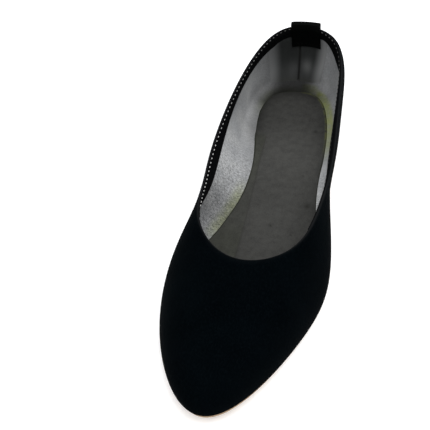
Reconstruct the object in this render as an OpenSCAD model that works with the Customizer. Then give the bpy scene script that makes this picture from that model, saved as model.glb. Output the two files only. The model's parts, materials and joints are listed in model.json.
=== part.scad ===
// Ballet slipper, left shoe: low soft upper, wide foot opening, thin sole with a small heel.
// Millimetres. +Z is up, the toe points to -Y, and the inner (big toe) side is -X.
// The origin is the centre of the heel's tread face, on the ground.
// Stations are distances from the back of the heel towards the toe.

/* [Overall size] */
// Length of the upper from heel back to toe
shoe_length = 249; // [230:1:268]
// Width of the upper across the ball
ball_width = 81; // [75:1:88]
// Height of the topline at the back of the heel
back_height = 58; // [52:1:64]

/* [Sole] */
// Thickness of the outsole
outsole_t = 3; // [2:0.5:4]
// Height of the heel block below the outsole
heel_block_h = 4; // [2:0.5:6]
// Height of the heel's top piece
top_piece_h = 2; // [1.5:0.5:3]
// Lift of the toe above the ground
toe_spring = 7; // [3:0.5:10]
// Step in from the upper to the outsole's edge
sole_inset = 1.5; // [1:0.5:3]

/* [Insole] */
// Thickness of the insole board
board_t = 1.6; // [1.2:0.2:2.4]
// Thickness of the foam pads
pad_t = 2; // [1:0.5:3]
// Thickness of the sock
sock_t = 0.8; // [0.6:0.1:1.2]
// Step in from the foot outline to the sock's edge
sock_inset = 6.2; // [4:0.2:8]

/* [Upper] */
// Thickness of the outer material
upper_t = 1; // [0.8:0.1:1.2]
// Thickness of toe puff, heel counter and topline tape
stiffener_t = 0.5; // [0.4:0.1:0.6]
// Thickness of the lining
lining_t = 0.5; // [0.4:0.1:0.6]
// Thickness of the topline band and heel grip
band_t = 0.5; // [0.4:0.1:0.6]
// Width of the topline band
band_w = 9.6; // [7:0.2:12]
// Width of the upper's margin turned in under the insole
margin_w = 11; // [8:1:12]

/* [Stitching] */
// Distance of the stitch row below the topline
stitch_drop = 1.5; // [1.2:0.1:3]
// Distance from one stitch to the next
stitch_pitch = 3.2; // [2:0.1:4]
// Visible length of one stitch
stitch_len = 1.2; // [1:0.1:1.9]

/* [Pull loop] */
// Width of the ribbon
loop_w = 18; // [12:1:22]
// Height of the loop above the topline
loop_h = 4.2; // [4.2:0.1:8]
// Length of the sewn legs below the topline
loop_leg = 15; // [12:0.1:18]

/* [Toe flex] */
// Largest angle between forefoot and rearfoot
flex_angle = 30; // [10:5:30]

/* [Hidden] */

// The design is drawn at a sample size and graded from there.
sample = [81, 249, 58];
grade = [ball_width / sample[0], shoe_length / sample[1], back_height / sample[2]];

// Wall profiles: how far the wall leans out and rises at the foot, then reaches out and drops at the topline.
heel_back = [6, 18, 6.5, 17];
heel_corner = [4.5, 17.5, 4, 17];
heel_side = [3, 14, 5, 13];
waist = [1.5, 13, 2, 11];
fore_waist = [2.5, 14, 2, 9.5];
ball = [3.5, 16, 6, 9];
toe_side = [2.5, 16.5, 17, 5.5];
toe_tip = [3.5, 19, 34, 5];
outer_waist = [1, 13, -4, 10.5];
outer_heel_side = [2, 14, -3, 10.5];
outer_heel_corner = [3.5, 17.5, 8.5, 14.5];

// Ribs of the last, from the heel back along the inner side to the toe and back along the outer side:
// [foot side, foot station, topline side, topline station, topline height, profile].
last_ribs = [
    [0, 0, 0.5, -3, 59.5, heel_back],
    [-27, 6, -20, 4, 56.5, heel_corner],
    [-31, 43, -32, 46, 47.5, heel_side],
    [-19, 85, -37, 96, 34.5, waist],
    [-26.5, 127, -34, 119.5, 31.5, fore_waist],
    [-45, 164, -31.5, 147.5, 36.5, ball],
    [-34, 218, -18, 169.5, 38.5, toe_side],
    [-6.5, 254, -1.5, 180, 39.5, toe_tip],
    [15.5, 234.5, 17, 174.5, 38.5, toe_side],
    [35, 189.5, 30, 156.5, 36.5, ball],
    [43, 155.5, 33, 122.5, 35, fore_waist],
    [29, 104, 34, 97, 32, outer_waist],
    [32.5, 58.5, 31, 51.5, 43, outer_heel_side],
    [23, 7, 28, 5, 55.5, outer_heel_corner]
];
rib_count = len(last_ribs);
ribs = [
    for (r = last_ribs)
        concat([r[0] * grade[0], r[1] * grade[1], r[2] * grade[0], r[3] * grade[1], r[4] * grade[2]], r[5])
];

// Grid steps from rib to rib, and rows up the wall.
rib_steps = 7;
wall_rows = 10;

// Heel and ball on the ground.
heel_h = heel_block_h + top_piece_h;
heel_centre = 27 * grade[1];
pitch_start = 60 * grade[1];
pitch_end = 140 * grade[1];
tread_end = 165 * grade[1];
toe_end = 247 * grade[1];
breast = 50 * grade[1];

// The flex line and the seams beside it, at the foot and at the topline.
flex_station = 160 * grade[1];
flex_gap = 0.4;
vamp_foot = 163 * grade[1];
vamp_top = 161 * grade[1];
quarter_foot = 157 * grade[1];
wing_height = 31 * grade[2];
quarter_top = vamp_top - wing_height * tan(flex_angle) - 3;

// Heights above the bed, from the outsole up.
ply = 0.1;
board_z = upper_t + ply;
pad_z = board_z + board_t + ply;
sock_z = pad_z + pad_t + ply;

// Depths below the outer surface, from the upper inwards.
stiffener_d = upper_t + ply;
lining_d = stiffener_d + stiffener_t + ply;
band_d = lining_d + lining_t + 1.5 * ply;
leg_d = band_d + band_t + 2 * ply;
thread_t = 0.5;
ribbon_t = 0.9;

// The layers are skived, so that the stack thins by this share towards the topline.
skive = 0.25;
skive_start = 0.7;

// Step in from the foot outline to the insole board and pads, clear of the lining.
board_inset = lining_d + lining_t + 0.8;

// ---- Curves of the last ----

function unit(v) = v / norm(v);
function mix(a, b, t) = a + (b - a) * t;
function clamp01(t) = min(1, max(0, t));
function smooth(t) = let (c = clamp01(t)) c * c * (3 - 2 * c);

// Height of the upper's lower edge: heel seat, waist, ball and toe spring.
function bed(s) =
    outsole_t + heel_h * (1 - smooth((s - pitch_start) / (pitch_end - pitch_start)))
    + toe_spring * pow(max(0, (s - tread_end) / (toe_end - tread_end)), 2);

// Rib number u of the closed spline, as any real number, and its rate of change.
function rib_at(i) = ribs[(i % rib_count + rib_count) % rib_count];
function blend4(i, w) = w[0] * rib_at(i - 1) + w[1] * rib_at(i) + w[2] * rib_at(i + 1) + w[3] * rib_at(i + 2);
function rib(u) =
    let (i = floor(u), t = u - i, q = 1 - t)
    blend4(i, [q * q * q, 3 * t * t * t - 6 * t * t + 4, 3 * q * q * q - 6 * q * q + 4, t * t * t] / 6);
function rib_rate(u) =
    let (i = floor(u), t = u - i, q = 1 - t)
    blend4(i, [-q * q, 3 * t * t - 4 * t, -3 * q * q + 4 * q, t * t] / 2);

// Outward direction in plan of the foot outline or the topline.
function plan_normal(rate) = unit([-rate[1], rate[0], 0]);
function foot_normal(u) = let (r = rib_rate(u)) plan_normal([r[0], r[1]]);
function top_normal(u) = let (r = rib_rate(u)) plan_normal([r[2], r[3]]);

// Wall of the upper at rib u and height t, from 0 at the foot to 1 at the topline: [side, station, height].
function wall(u, t) =
    let (
        r = rib(u),
        p0 = [r[0], r[1], bed(r[1])],
        p1 = p0 + foot_normal(u) * r[5] + [0, 0, r[6]],
        p3 = [r[2], r[3], r[4]],
        p2 = p3 + top_normal(u) * r[7] - [0, 0, r[8]],
        q = 1 - t
    )
    q * q * q * p0 + 3 * q * q * t * p1 + 3 * q * t * t * p2 + t * t * t * p3;
function wall_normal(u, t) =
    let (e = 0.005)
    unit(cross(wall(u, t + e) - wall(u, t - e), wall(u + e, t) - wall(u - e, t)));

// A point of the upper at depth d. Below t = 0 the margin turns in under the insole, to t = -1.
function skin(u, t, d) =
    t > 0 ? wall(u, t) - wall_normal(u, t) * d * (1 - skive * smooth((t - skive_start) / (1 - skive_start))) :
    let (foot = wall(u, 0), p = foot + foot_normal(u) * (t * margin_w - d * (1 + t)))
    [p[0], p[1], bed(p[1]) + d];

// Height t at a distance w below the topline.
function drop_step(u, w, t) = 1 - (1 - t) * w / norm(wall(u, 1) - wall(u, t));
function below_top(u, w, t = 0.7, n = 4) = n == 0 ? t : below_top(u, w, drop_step(u, w, t), n - 1);

// Rib number where a curve crosses a station, between ribs a and b.
function foot_station(u, inset = 0) = rib(u)[1] - foot_normal(u)[1] * inset;
function top_station(u) = rib(u)[3];
function foot_rib(s, a, b, inset = 0, n = 24) =
    let (m = (a + b) / 2)
    n == 0 ? m :
    foot_station(m, inset) < s ? foot_rib(s, m, b, inset, n - 1) : foot_rib(s, a, m, inset, n - 1);
function top_rib(s, a, b, n = 24) =
    let (m = (a + b) / 2)
    n == 0 ? m : top_station(m) < s ? top_rib(s, m, b, n - 1) : top_rib(s, a, m, n - 1);
function side_rib(x, a, b, n = 24) =
    let (m = (a + b) / 2)
    n == 0 ? m : wall(m, 1)[0] > x ? side_rib(x, m, b, n - 1) : side_rib(x, a, m, n - 1);

// Ribs of heel back, inner side, toe and outer side.
inner_rear = 1;
toe = 7;
outer_rear = rib_count - 1;

// Seams and layer ends, as rib numbers at the foot and at the topline.
heel_seam = 0.1;
heel_start = [heel_seam, heel_seam];
counter_inner = [2, 2];
vamp_inner = [foot_rib(vamp_foot, inner_rear, toe), top_rib(vamp_top, inner_rear, toe)];
vamp_outer = [foot_rib(vamp_foot, outer_rear, toe), top_rib(vamp_top, outer_rear, toe)];
quarter_inner = [foot_rib(quarter_foot, inner_rear, toe), top_rib(quarter_top, inner_rear, toe)];
quarter_outer = [foot_rib(quarter_foot, outer_rear, toe), top_rib(quarter_top, outer_rear, toe)];
puff_inner = [6, 6];
puff_outer = [8, 8];
counter_outer = [rib_count - 2, rib_count - 2];
heel_end = heel_start + [rib_count, rib_count];

// Columns of a layer's grid at height t: even steps from each seam of the list to the next one.
function at_seam(seam, t) = mix(seam[0], seam[1], clamp01(t));
function steps_between(a, b) = max(1, round(max(abs(b[0] - a[0]), abs(b[1] - a[1])) * rib_steps));
function columns(seams, t) = concat(
    [
        for (k = [0:len(seams) - 2])
            let (a = seams[k], b = seams[k + 1], n = steps_between(a, b))
            for (i = [0:n - 1]) mix(at_seam(a, t), at_seam(b, t), i / n)
    ],
    [at_seam(seams[len(seams) - 1], t)]
);
vamp_seams = [vamp_inner, puff_inner, puff_outer, vamp_outer];
medial_seams = [heel_start, counter_inner, quarter_inner];
lateral_seams = [quarter_outer, counter_outer, heel_end];
front_seams = concat([quarter_inner], vamp_seams, [quarter_outer]);
all_seams = concat([heel_start, counter_inner], front_seams, [counter_outer, heel_end]);
seam_gap = 0.01;

// World position of a point given as [side, station, height].
function place(p) = [p[0], heel_centre - p[1], p[2]];

// ---- Solids from grids ----

// A closed solid between two grids of points of the same size. The first grid is the outer one.
module between(outer, inner, ring = false) {
    n = len(outer);
    m = len(outer[0]);
    last = ring ? n : n - 1;
    function id(i, j, k) = ((i % n) * m + j) * 2 + k;
    points = [for (i = [0:n - 1]) for (j = [0:m - 1]) for (p = [outer[i][j], inner[i][j]]) place(p)];
    skins = [
        for (i = [0:last - 1])
            for (j = [0:m - 2])
                for (f = [
                    [id(i, j, 0), id(i, j + 1, 0), id(i + 1, j + 1, 0)],
                    [id(i, j, 0), id(i + 1, j + 1, 0), id(i + 1, j, 0)],
                    [id(i, j, 1), id(i + 1, j + 1, 1), id(i, j + 1, 1)],
                    [id(i, j, 1), id(i + 1, j, 1), id(i + 1, j + 1, 1)]
                ]) f
    ];
    rims = [
        for (i = [0:last - 1])
            for (f = [
                [id(i, 0, 0), id(i + 1, 0, 0), id(i + 1, 0, 1)],
                [id(i, 0, 0), id(i + 1, 0, 1), id(i, 0, 1)],
                [id(i, m - 1, 0), id(i + 1, m - 1, 1), id(i + 1, m - 1, 0)],
                [id(i, m - 1, 0), id(i, m - 1, 1), id(i + 1, m - 1, 1)]
            ]) f
    ];
    ends = ring ? [] : [
        for (j = [0:m - 2])
            for (f = [
                [id(0, j, 0), id(0, j + 1, 1), id(0, j + 1, 0)],
                [id(0, j, 0), id(0, j, 1), id(0, j + 1, 1)],
                [id(n - 1, j, 0), id(n - 1, j + 1, 0), id(n - 1, j + 1, 1)],
                [id(n - 1, j, 0), id(n - 1, j + 1, 1), id(n - 1, j, 1)]
            ]) f
    ];
    polyhedron(points, concat(skins, rims, ends), convexity = 10);
}

// Heights of the grid rows: the margin, the foot line and the wall, closer together towards the topline.
// The inner layers use the wall's rows, up to a given number of them.
margin_rows = [-1, -0.5, -0.1, 0];
function wall_levels(rows = wall_rows) = [for (j = [0:rows]) mix(1, 0.07, pow(1 - j / wall_rows, 1.3))];
full_rows = concat(margin_rows, wall_levels());

// A layer of the upper along a list of seams, between two depths, on the given rows.
// Its two ends stop just short of the first and the last seam.
module layer(seams, d0, d1, rows) {
    per_row = [for (t = rows) columns(seams, t)];
    last = len(per_row[0]) - 1;
    function trim(i) = i == 0 ? seam_gap : i == last ? -seam_gap : 0;
    function grid(d) = [
        for (i = [0:last])
            [for (j = [0:len(rows) - 1]) skin(per_row[j][i] + trim(i), rows[j], d)]
    ];
    between(grid(d0), grid(d1));
}

// A tape that follows the topline through the given ribs, between two distances below it.
module tape(at, d0, d1, w0, w1, n = 3, ring = false) {
    function grid(d) = [
        for (u = at)
            let (t0 = below_top(u, w1), t1 = below_top(u, w0))
            [for (j = [0:n]) skin(u, mix(t0, t1, j / n), d)]
    ];
    between(grid(d0), grid(d1), ring);
}

// A plate between two heights above the bed, from station s0 to station s1 inside the foot outline.
// Each chord runs across from the inner edge to the outer edge.
module plate(inset, z0, z1, s0, s1, chords = 24, across = 4) {
    back = s0 < foot_station(0, inset) + 1;
    front = s1 > foot_station(toe, inset) - 1;
    tip = 0.02;
    u_in = [
        back ? tip : foot_rib(s0, inner_rear, toe, inset),
        front ? toe - tip : foot_rib(s1, inner_rear, toe, inset)
    ];
    u_out = [
        back ? rib_count - tip : foot_rib(s0, outer_rear, toe, inset),
        front ? toe + tip : foot_rib(s1, outer_rear, toe, inset)
    ];
    function edge(u) = let (r = rib(u)) [r[0], r[1], 0] - foot_normal(u) * inset;
    function chord(k, z) =
        let (p = edge(mix(u_in[0], u_in[1], k)), q = edge(mix(u_out[0], u_out[1], k)))
        [for (j = [0:across]) let (m = mix(p, q, j / across)) [m[0], m[1], bed(m[1]) + z]];
    between([for (i = [0:chords]) chord(i / chords, z1)], [for (i = [0:chords]) chord(i / chords, z0)]);
}

// Outline of the heel seat in plan, stepped in from the foot outline and cut at the breast.
module heel_seat(inset) {
    a = foot_rib(breast, inner_rear, toe, inset);
    b = foot_rib(breast, outer_rear, toe, inset) - rib_count;
    steps = 40;
    polygon([
        for (i = [0:steps])
            let (u = mix(b, a, i / steps), p = rib(u), n = foot_normal(u))
            [p[0] - n[0] * inset, heel_centre - p[1] + n[1] * inset]
    ]);
}

// ---- Sole ----

module outsole_forepart() {
    color("tan")
        plate(sole_inset, -outsole_t, -ply, flex_station + flex_gap / 2, shoe_length);
}

module outsole_backpart() {
    color("tan")
        plate(sole_inset, -outsole_t, -ply, 0, flex_station - flex_gap / 2);
}

module heel_block() {
    color("sienna")
        translate([0, 0, top_piece_h])
            linear_extrude(heel_block_h - ply)
                heel_seat(sole_inset + 0.5);
}

module heel_top_piece() {
    color("dimgray")
        linear_extrude(top_piece_h - ply)
            heel_seat(sole_inset + 0.5);
}

module bottom_filler() {
    color("peru")
        plate(board_inset + margin_w, ply, upper_t - ply, vamp_foot + 1, 232 * grade[1], 14, 2);
}

module shank() {
    shank_w = 12;
    function strip(z) = [
        for (i = [0:12])
            let (s = mix(40, 130, i / 12) * grade[1])
            [for (x = [-shank_w / 2, 0, shank_w / 2]) [x, s, bed(s) + z]]
    ];
    color("silver")
        between(strip(upper_t - ply), strip(ply));
}

// ---- Insole ----

module insole_board_forepart() {
    color("burlywood")
        plate(board_inset, board_z, board_z + board_t, flex_station + flex_gap / 2, shoe_length);
}

module insole_board_backpart() {
    color("burlywood")
        plate(board_inset, board_z, board_z + board_t, 0, flex_station - flex_gap / 2);
}

module insole_pad_forepart() {
    color("ivory")
        plate(board_inset, pad_z, pad_z + pad_t, vamp_foot, 236 * grade[1], 16);
}

module insole_pad_backpart() {
    color("ivory")
        plate(board_inset, pad_z, pad_z + pad_t, 0, quarter_foot);
}

module sock() {
    color("dimgray")
        plate(sock_inset, sock_z, sock_z + sock_t, 0, 238 * grade[1], 44);
}

// ---- Upper ----

module vamp() {
    color("black")
        layer(vamp_seams, 0, upper_t, full_rows);
}

// The vamp's two side wings, which crease when the toe flexes.
module vamp_wings() {
    color("black") {
        layer([quarter_inner, vamp_inner], 0, upper_t, full_rows);
        layer([vamp_outer, quarter_outer], 0, upper_t, full_rows);
    }
}

module quarter_medial() {
    color("black")
        layer(medial_seams, 0, upper_t, full_rows);
}

module quarter_lateral() {
    color("black")
        layer(lateral_seams, 0, upper_t, full_rows);
}

lining_rows = wall_levels();

module vamp_lining() {
    color("lightgray")
        layer(front_seams, lining_d, lining_d + lining_t, lining_rows);
}

module quarter_lining_medial() {
    color("silver")
        layer(medial_seams, lining_d, lining_d + lining_t, lining_rows);
}

module quarter_lining_lateral() {
    color("silver")
        layer(lateral_seams, lining_d, lining_d + lining_t, lining_rows);
}

// Stiff cap between vamp and lining round the toe.
module toe_puff() {
    puff_rows = 3;
    color("wheat")
        layer([puff_inner, puff_outer], stiffener_d, stiffener_d + stiffener_t, wall_levels(puff_rows));
}

// Stiff cup between quarters and lining round the heel.
module heel_counter() {
    counter_rows = 7;
    rear_seams = [counter_outer - [rib_count, rib_count], heel_start, counter_inner];
    color("wheat")
        layer(rear_seams, stiffener_d, stiffener_d + stiffener_t, wall_levels(counter_rows));
}

// Columns of the layers' grid just below the topline, once round the opening.
top_columns = [for (u = columns(all_seams, 0.93)) if (u < heel_end[0] - seam_gap) u];

// Narrow tape inside the folded edge, all the way round the opening.
module topline_tape() {
    color("white")
        tape(top_columns, stiffener_d, stiffener_d + stiffener_t, 0.8, 5, 2, true);
}

// ---- Topline band and heel ----

// The band runs round the heel, from the inner side to the outer side.
band_front = 150 * grade[1];
band_inner = top_rib(band_front, inner_rear, toe);
band_outer = top_rib(band_front, outer_rear, toe) - rib_count;
band_columns = concat(
    [band_outer],
    [for (u = top_columns) if (u - rib_count > band_outer + seam_gap) u - rib_count],
    [for (u = top_columns) if (u < band_inner - seam_gap) u],
    [band_inner]
);

module topline_band() {
    color("black")
        tape(band_columns, band_d, band_d + band_t, 0.4, band_w);
}

// One stitch: a short thread along x, lying on the band.
module stitch() {
    cube([stitch_len, thread_t, thread_t], center = true);
}

// Places a stitch on the layer at depth d, w below the topline, along the topline at rib u.
module on_topline(u, w, d) {
    e = 0.01;
    t = below_top(u, w);
    p = place(skin(u, t, d));
    ahead = place(skin(u + e, below_top(u + e, w), d));
    along = unit(ahead - p);
    out = unit(place(wall_normal(u, t)) - place([0, 0, 0]));
    up = unit(cross(along, out));
    side = cross(up, along);
    multmatrix([
        [along[0], side[0], up[0], p[0]],
        [along[1], side[1], up[1], p[1]],
        [along[2], side[2], up[2], p[2]],
        [0, 0, 0, 1]
    ])
        children();
}

// Rib numbers at equal distances along the topline, by short steps.
function walk(u, end, step) =
    u > end ? [] :
    let (speed = norm(wall(u + 0.01, 1) - wall(u, 1)) / 0.01)
    concat([u], walk(u + step / speed, end, step));

module topline_stitching() {
    stitch_d = band_d + band_t + thread_t + ply;
    color("white")
        for (u = walk(band_outer + 0.02, band_inner - 0.02, stitch_pitch))
            if (u < loop_ribs[0] - 0.1 || u > loop_ribs[1] + 0.1)
                on_topline(u, stitch_drop, stitch_d)
                    stitch();
}

// Two soft panels that meet at the centre back seam, below the band.
module heel_grip() {
    rows = 6;
    cols = 5;
    reach = 0.55;
    foot_level = 0.17;
    function panel(side, d) = [
        for (i = [0:cols])
            let (u = heel_seam + side * mix(seam_gap, reach, i / cols), t1 = below_top(u, band_w + 0.8))
            [for (j = [0:rows]) skin(u, mix(foot_level, t1, j / rows), d)]
    ];
    color("darkslategray") {
        between(panel(1, band_d), panel(1, band_d + band_t));
        between(panel(-1, band_d + band_t), panel(-1, band_d));
    }
}

// ---- Pull loop ----

loop_root = wall(0, 1);
loop_ribs = [for (side = [1, -1]) side_rib(loop_root[0] + side * loop_w / 2, -0.9, 0.9)];
loop_lift = 1.7;
loop_foot = loop_root[2] + loop_lift;
loop_half = 2.3;
loop_mid = (band_d + band_t) * (1 - skive) / 2;

// The free bight of the ribbon, standing over the topline.
module pull_loop() {
    straight = loop_h - loop_lift - loop_half;
    color("black")
        translate([loop_root[0] - loop_w / 2, heel_centre - loop_root[1] - loop_mid, loop_foot])
            rotate([90, 0, 90])
                linear_extrude(loop_w)
                    difference() {
                        union() {
                            translate([0, straight])
                                circle(loop_half, $fn = 48);
                            translate([-loop_half, 0])
                                square([2 * loop_half, straight]);
                        }
                        translate([0, straight])
                            circle(loop_half - ribbon_t, $fn = 48);
                        translate([-loop_half + ribbon_t, -loop_half])
                            square([2 * (loop_half - ribbon_t), straight + loop_half]);
                        translate([-loop_half, -2 * loop_half])
                            square([2 * loop_half, 2 * loop_half]);
                    }
}

// The ribbon's sewn legs: one down the inside, one down the outside of the back.
module pull_loop_legs() {
    leg_top = 0.9;
    steps = 6;
    across = [for (i = [0:steps]) mix(loop_ribs[0], loop_ribs[1], i / steps)];
    color("black") {
        tape(across, leg_d, leg_d + ribbon_t, leg_top, loop_leg, 5);
        tape(across, -ply - ribbon_t, -ply, leg_top, loop_leg, 5);
    }
}

// A row of stitches across each leg near its lower end.
module loop_stitching() {
    stitches = 6;
    outer_d = -ply - ribbon_t - thread_t;
    inner_d = leg_d + ribbon_t + thread_t;
    color("black")
        for (d = [inner_d, outer_d])
            for (i = [0:stitches - 1])
                on_topline(mix(loop_ribs[0], loop_ribs[1], 0.1 + 0.8 * i / (stitches - 1)), loop_leg - 3, d)
                    stitch();
}

outsole_forepart();
outsole_backpart();
heel_block();
heel_top_piece();
bottom_filler();
shank();
insole_board_forepart();
insole_board_backpart();
insole_pad_forepart();
insole_pad_backpart();
sock();
vamp();
vamp_wings();
quarter_medial();
quarter_lateral();
vamp_lining();
quarter_lining_medial();
quarter_lining_lateral();
toe_puff();
heel_counter();
topline_tape();
topline_band();
topline_stitching();
heel_grip();
pull_loop();
pull_loop_legs();
loop_stitching();
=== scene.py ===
"""Looks of the ballet slipper: suede upper, lining, topline band, sock, sole and pull loop.

Shapes are worked out in millimetres on the same last as the CAD model and scaled to metres when a mesh is made.
Stations run from the back of the heel towards the toe. The toe points to -Y, and the inner side is -X.
"""
import json
import math
import random

import bpy
import numpy as np
from mathutils import Matrix, Vector


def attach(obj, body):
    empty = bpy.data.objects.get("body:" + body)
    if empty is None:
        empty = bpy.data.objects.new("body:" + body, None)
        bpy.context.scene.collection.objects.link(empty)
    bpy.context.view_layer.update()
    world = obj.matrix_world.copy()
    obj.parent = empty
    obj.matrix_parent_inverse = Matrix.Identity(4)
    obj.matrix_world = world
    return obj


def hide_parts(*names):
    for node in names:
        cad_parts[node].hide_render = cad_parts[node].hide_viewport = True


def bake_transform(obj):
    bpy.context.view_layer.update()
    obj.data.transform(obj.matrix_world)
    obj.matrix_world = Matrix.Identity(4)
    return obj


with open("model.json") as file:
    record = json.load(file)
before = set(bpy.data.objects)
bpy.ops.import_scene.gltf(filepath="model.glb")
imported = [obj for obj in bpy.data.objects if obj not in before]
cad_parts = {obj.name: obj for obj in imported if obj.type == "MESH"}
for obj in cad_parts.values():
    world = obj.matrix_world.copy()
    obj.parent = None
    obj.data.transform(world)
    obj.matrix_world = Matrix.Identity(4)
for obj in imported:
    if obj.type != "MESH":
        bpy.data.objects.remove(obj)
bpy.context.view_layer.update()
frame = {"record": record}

MM = 0.001
random.seed(7)

# ---- Sizes, in millimetres ----

# Sole. Stations are measured from the back of the heel; HEEL_CENTRE is the frame's origin.
HEEL_CENTRE = 27.0
OUTSOLE_T = 3.0
HEEL_H = 6.0
TOP_PIECE_H = 2.0
LIFTS = 3
BREAST = 50.0
PITCH = (60.0, 140.0)   # stations between which the sole comes down from the heel
TREAD_END = 165.0       # station where the toe spring starts
TOE_END = 247.0
TOE_SPRING = 7.0
SOLE_INSET = 1.5
SOLE_BEVEL = 1.0
TREAD_PITCH = 3.2
TREAD_DEPTH = 0.55

# Upper. A depth (_D) is measured inwards from the upper's outer surface, a thickness (_T) from there on.
UPPER_T = 1.0
ROLL = 0.8              # radius of the folded topline
MARGIN = 11.0           # lasting margin, turned in under the foot
LINING_D = 1.6
LINING_T = 0.45
LINING_FOOT = 12.0      # height where the lining starts to turn in
LINING_UNDER_SOCK = 2.2
TAPE_D = (1.1, 1.45)
TAPE_EDGES = (5.0, 2.3)     # below the topline
BAND_D = 2.1
BAND_T = 0.4
BAND_W = 9.6
BAND_FRONT = 150.0
STITCH_PITCH = 3.2
STITCH_LEN = 1.2
STITCH_R = 0.27
SOCK_Z = 5.3
SOCK_T = 0.8
SOCK_INSET = 6.2
SOCK_FRONT = 236.0
# Side, station and size of each spot on the sock.
SOCK_SPOTS = ((21, 110, 1.5), (16, 49, 1.0), (15, 88.5, 0.7), (3.5, 126.5, 0.8), (15.5, 131.5, 0.6))
GRIP_LEFT = -20.5
GRIP_RIGHT = (11.5, 15.5)   # at the lower end and at the top
GRIP_FOLDS = 16         # pitch of the folds under the loop, as a count over the grip's full height
LOOP_W = 18.0
LOOP_H = 4.2
LOOP_LEG = 15.0
LOOP_SIDE = 0.7         # how far the loop sits beside the back of the heel
RIBBON_T = 0.7
RIBBON_PITCH = 0.9
LOOP_STITCH_LEN = 1.7
LOOP_STITCH_R = 0.26

HEEL_SEAM = 0.1         # rib number of the outside seam
HEEL_RIB = 24           # distance between two ribs near that seam

# ---- The last: ribs round the shoe and the wall's profile at each ----

HEEL_BACK = (6, 18, 6.5, 17)
HEEL_CORNER = (4.5, 17.5, 4, 17)
HEEL_SIDE = (3, 14, 5, 13)
WAIST = (1.5, 13, 2, 11)
FORE_WAIST = (2.5, 14, 2, 9.5)
BALL = (3.5, 16, 6, 9)
TOE_SIDE = (2.5, 16.5, 17, 5.5)
TOE_TIP = (3.5, 19, 34, 5)
OUTER_WAIST = (1, 13, -4, 10.5)
OUTER_HEEL_SIDE = (2, 14, -3, 10.5)
OUTER_HEEL_CORNER = (3.5, 17.5, 8.5, 14.5)

# Foot side and station, topline side, station and height, then the profile:
# lean out and rise at the foot, reach out and drop at the topline.
RIBS = np.array([
    (0, 0, 0.5, -3, 59.5, *HEEL_BACK),
    (-27, 6, -20, 4, 56.5, *HEEL_CORNER),
    (-31, 43, -32, 46, 47.5, *HEEL_SIDE),
    (-19, 85, -37, 96, 34.5, *WAIST),
    (-26.5, 127, -34, 119.5, 31.5, *FORE_WAIST),
    (-45, 164, -31.5, 147.5, 36.5, *BALL),
    (-34, 218, -18, 169.5, 38.5, *TOE_SIDE),
    (-6.5, 254, -1.5, 180, 39.5, *TOE_TIP),
    (15.5, 234.5, 17, 174.5, 38.5, *TOE_SIDE),
    (35, 189.5, 30, 156.5, 36.5, *BALL),
    (43, 155.5, 33, 122.5, 35, *FORE_WAIST),
    (29, 104, 34, 97, 32, *OUTER_WAIST),
    (32.5, 58.5, 31, 51.5, 43, *OUTER_HEEL_SIDE),
    (23, 7, 28, 5, 55.5, *OUTER_HEEL_CORNER),
], dtype=float)
RIB_COUNT = len(RIBS)
TOE = 7     # rib number at the toe


def smooth(x):
    c = np.clip(x, 0, 1)
    return c * c * (3 - 2 * c)


def mix(a, b, t):
    return a + (b - a) * t


def bed(s):
    """Height of the upper's lower edge at station s."""
    pitch = 1 - smooth((s - PITCH[0]) / (PITCH[1] - PITCH[0]))
    spring = np.maximum(0, (s - TREAD_END) / (TOE_END - TREAD_END)) ** 2
    return OUTSOLE_T + HEEL_H * pitch + TOE_SPRING * spring


def spline(u, weights):
    """Closed cubic B-spline through the table of ribs."""
    i = np.floor(u).astype(int)
    t = (u - i)[..., None]
    return sum(w * RIBS[(i + k - 1) % RIB_COUNT] for k, w in enumerate(weights(t)))


def rib(u):
    """Row of the rib table at a rib number, whole or between two ribs."""
    return spline(u, lambda t: (
        (1 - t) ** 3 / 6, (3 * t ** 3 - 6 * t ** 2 + 4) / 6, (3 * (1 - t) ** 3 - 6 * (1 - t) ** 2 + 4) / 6, t ** 3 / 6))


def rib_rate(u):
    """Change of that row with the rib number."""
    return spline(u, lambda t: (
        -(1 - t) ** 2 / 2, (3 * t ** 2 - 4 * t) / 2, (-3 * (1 - t) ** 2 + 4 * (1 - t)) / 2, t ** 2 / 2))


def plan_normal(rate):
    n = np.stack([-rate[..., 1], rate[..., 0], 0 * rate[..., 0]], -1)
    return n / np.linalg.norm(n, axis=-1, keepdims=True)


def foot_normal(u):
    return plan_normal(rib_rate(u)[..., :2])


def foot_outline(u, inset):
    """The foot's outline in plan, stepped in by inset."""
    return rib(u)[..., :2] - foot_normal(u)[..., :2] * inset


def wall(u, t):
    """Outer surface of the upper as (side, station, height), for arrays u and t of one shape."""
    u, t = np.broadcast_arrays(np.asarray(u, float), np.asarray(t, float))
    r = rib(u)
    rate = rib_rate(u)
    up = np.array([0.0, 0.0, 1.0])
    p0 = np.stack([r[..., 0], r[..., 1], bed(r[..., 1])], -1)
    p1 = p0 + plan_normal(rate[..., :2]) * r[..., 5:6] + up * r[..., 6:7]
    p3 = r[..., 2:5]
    p2 = p3 + plan_normal(rate[..., 2:4]) * r[..., 7:8] - up * r[..., 8:9]
    t = t[..., None]
    q = 1 - t
    return q ** 3 * p0 + 3 * q * q * t * p1 + 3 * q * t * t * p2 + t ** 3 * p3


def unit(v):
    return v / np.linalg.norm(v, axis=-1, keepdims=True)


def wall_normal(u, t):
    e = 0.004
    rise = wall(u, t + e) - wall(u, t - e)
    run = wall(u + e, t) - wall(u - e, t)
    return unit(np.cross(rise, run))


def wall_rise(u, t):
    """Direction up the wall, along its profile."""
    e = 0.004
    return unit(wall(u, t + e) - wall(u, t - e))


def below_top(u, w):
    """Profile height at a distance w below the topline."""
    t = np.full(np.shape(u), 0.8)
    top = wall(u, np.ones_like(t))
    for _ in range(8):
        t = 1 - (1 - t) * w / np.maximum(np.linalg.norm(top - wall(u, t), axis=-1), 1e-6)
    return t


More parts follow.
